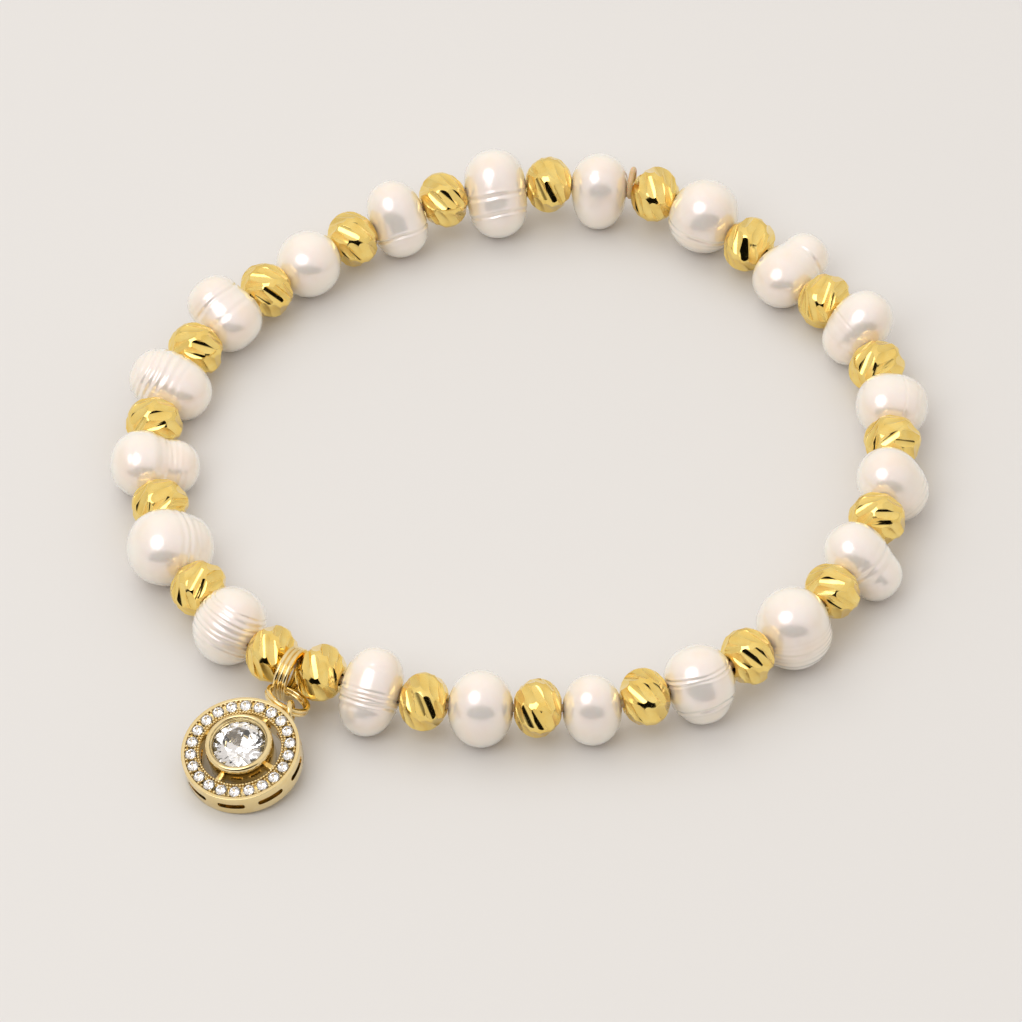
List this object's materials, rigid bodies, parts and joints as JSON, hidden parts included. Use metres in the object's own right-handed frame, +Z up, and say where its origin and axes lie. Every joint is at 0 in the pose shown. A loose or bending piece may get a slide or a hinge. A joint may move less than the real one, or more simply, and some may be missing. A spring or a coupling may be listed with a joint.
{
  "type": "pearl bracelet",
  "caption": "Stretch bracelet of potato pearls and small cut gold beads on elastic, with a round pavé charm on two rings.",
  "frame": {"origin": "middle of the footprint's box, on the surface that the bracelet lies on", "axes": "+Z up through the loop, +X to the right and +Y away from the viewer, with the charm at the front left"},
  "size_m": [0.0704, 0.0738, 0.0073],
  "materials": {
    "pearl": "pinkish white nacre with a satin lustre",
    "gold": "polished gold plate",
    "elastic": "translucent beige stretch cord",
    "stone": "clear cut stone"
  },
  "bodies": {
    "root": {"gold_bead_01": "gold", "pearl_01": "pearl", "gold_bead_02": "gold", "pearl_02": "pearl", "gold_bead_03": "gold", "pearl_03": "pearl", "gold_bead_04": "gold", "pearl_04": "pearl", "gold_bead_05": "gold", "pearl_05": "pearl", "gold_bead_06": "gold", "pearl_06": "pearl", "gold_bead_07": "gold", "pearl_07": "pearl", "gold_bead_08": "gold", "pearl_08": "pearl", "gold_bead_09": "gold", "pearl_09": "pearl", "gold_bead_10": "gold", "pearl_10": "pearl", "gold_bead_11": "gold", "pearl_11": "pearl", "gold_bead_12": "gold", "pearl_12": "pearl", "gold_bead_13": "gold", "pearl_13": "pearl", "gold_bead_14": "gold", "pearl_14": "pearl", "gold_bead_15": "gold", "pearl_15": "pearl", "gold_bead_16": "gold", "pearl_16": "pearl", "gold_bead_17": "gold", "pearl_17": "pearl", "gold_bead_18": "gold", "pearl_18": "pearl", "gold_bead_19": "gold", "pearl_19": "pearl", "gold_bead_20": "gold", "pearl_20": "pearl", "gold_bead_21": "gold", "elastic": "elastic", "elastic_knot": "elastic", "jump_ring": "gold", "link_ring": "gold", "charm_frame": "gold", "charm_stone": "stone"}
  },
  "joints": []
}
